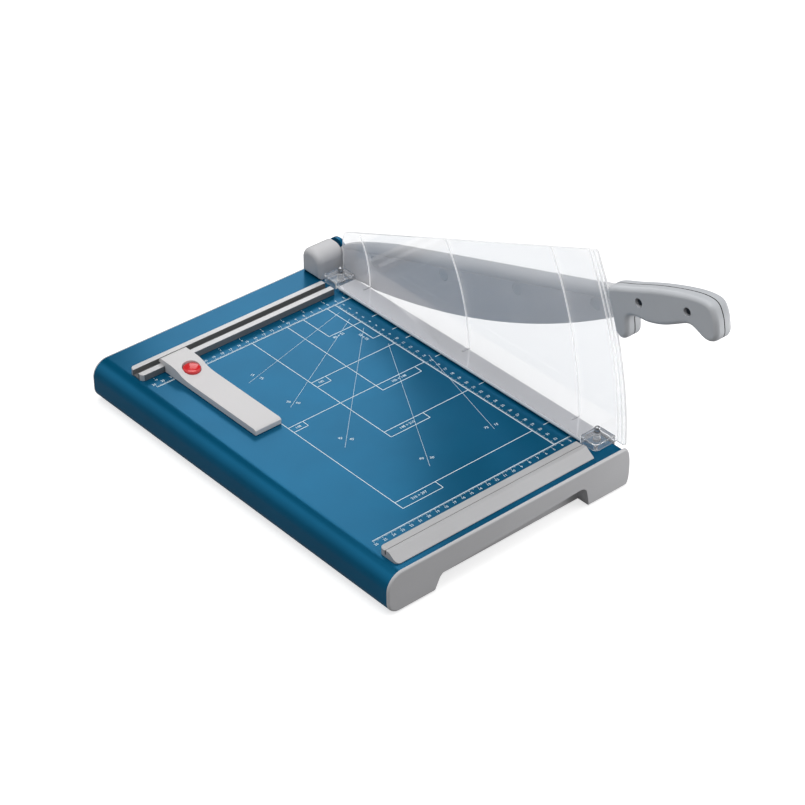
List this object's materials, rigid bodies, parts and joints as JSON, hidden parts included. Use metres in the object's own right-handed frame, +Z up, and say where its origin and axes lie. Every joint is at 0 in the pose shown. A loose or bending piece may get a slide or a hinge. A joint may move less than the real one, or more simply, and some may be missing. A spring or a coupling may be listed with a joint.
{
  "type": "paper cutter",
  "caption": "Desk paper guillotine with a curved lever blade, a sprung clear guard that clamps the sheet, a folded steel table and a sliding backstop.",
  "frame": {"origin": "middle of the box around everything at rest, at the bench under the feet", "axes": "+Z up; +Y from the operator back along the cutting edge towards the pivot; +X to the right, from the table towards the blade"},
  "size_m": [0.2994, 0.5368, 0.2437],
  "materials": {
    "blue_paint": "semi-gloss powder coat",
    "grey_plastic": "fine moulded texture",
    "rail_plastic": "fine moulded texture",
    "pale_plastic": "satin moulding",
    "red_plastic": "gloss moulding",
    "clear_plastic": "clear, polished",
    "aluminium": "satin extrusion",
    "arm_paint": "satin grey paint",
    "handle_plastic": "satin moulding",
    "tool_steel": "ground steel",
    "zinc_steel": "zinc plated",
    "chrome": "polished",
    "bronze": "sintered bronze",
    "rubber": "matt black"
  },
  "bodies": {
    "base": {"table_sheet": "blue_paint", "pivot_bracket": "blue_paint", "front_end_cap": "grey_plastic", "back_end_cap": "grey_plastic", "pivot_cover": "grey_plastic", "back_rail": "rail_plastic", "front_rail": "rail_plastic", "bed_knife": "tool_steel", "bed_knife_screw_1": "zinc_steel", "bed_knife_screw_2": "zinc_steel", "bed_knife_screw_3": "zinc_steel", "bed_knife_screw_4": "zinc_steel", "bed_knife_screw_5": "zinc_steel", "rail_screw_1": "zinc_steel", "rail_screw_2": "zinc_steel", "rail_screw_3": "zinc_steel", "rail_screw_4": "zinc_steel", "bracket_screw_1": "zinc_steel", "bracket_screw_2": "zinc_steel", "cap_screw_front": "zinc_steel", "cap_screw_back": "zinc_steel", "pivot_bolt": "zinc_steel", "thrust_washer": "zinc_steel", "disc_springs": "zinc_steel", "lock_nut": "zinc_steel", "rear_clamp_spring": "zinc_steel", "front_clamp_spring": "zinc_steel", "rear_pin_nut": "zinc_steel", "front_pin_nut": "zinc_steel", "rear_guide_pin": "chrome", "front_guide_pin": "chrome", "pivot_bush": "bronze", "foot_front_left": "rubber", "foot_front_right": "rubber", "foot_back_left": "rubber", "foot_back_right": "rubber"},
    "lever": {"blade_arm": "arm_paint", "blade": "tool_steel", "blade_screw_1": "zinc_steel", "blade_screw_2": "zinc_steel", "blade_screw_3": "zinc_steel", "blade_screw_4": "zinc_steel", "handle_left_half": "handle_plastic", "handle_right_half": "handle_plastic", "handle_screw_1": "zinc_steel", "handle_screw_2": "zinc_steel"},
    "clamp_guard": {"guard_shield": "clear_plastic", "clamp_bar": "aluminium"},
    "backstop": {"backstop_arm": "pale_plastic", "backstop_jaw": "zinc_steel", "button_spring": "zinc_steel"},
    "button": {"release_button": "red_plastic"}
  },
  "joints": [
    {"name": "lever_swing", "type": "hinge", "parent": "base", "child": "lever", "pos_m": [0.13332, 0.25191, 0.04], "axis": [-1, 0, 0], "range_deg": [-17.5, 4.5]},
    {"name": "clamp_press", "type": "slide", "parent": "base", "child": "clamp_guard", "axis": [0, 0, 1], "range_m": [-0.0018, 0], "stiffness_N_per_m": 2000, "springref_m": 0.003, "deforming": ["rear_clamp_spring", "front_clamp_spring"]},
    {"name": "backstop_slide", "type": "slide", "parent": "base", "child": "backstop", "axis": [1, 0, 0], "range_m": [-0.024, 0.172]},
    {"name": "button_press", "type": "slide", "parent": "backstop", "child": "button", "axis": [0, 0, -1], "range_m": [0, 0.002], "stiffness_N_per_m": 400, "springref_m": -0.003, "deforming": ["button_spring"]}
  ]
}
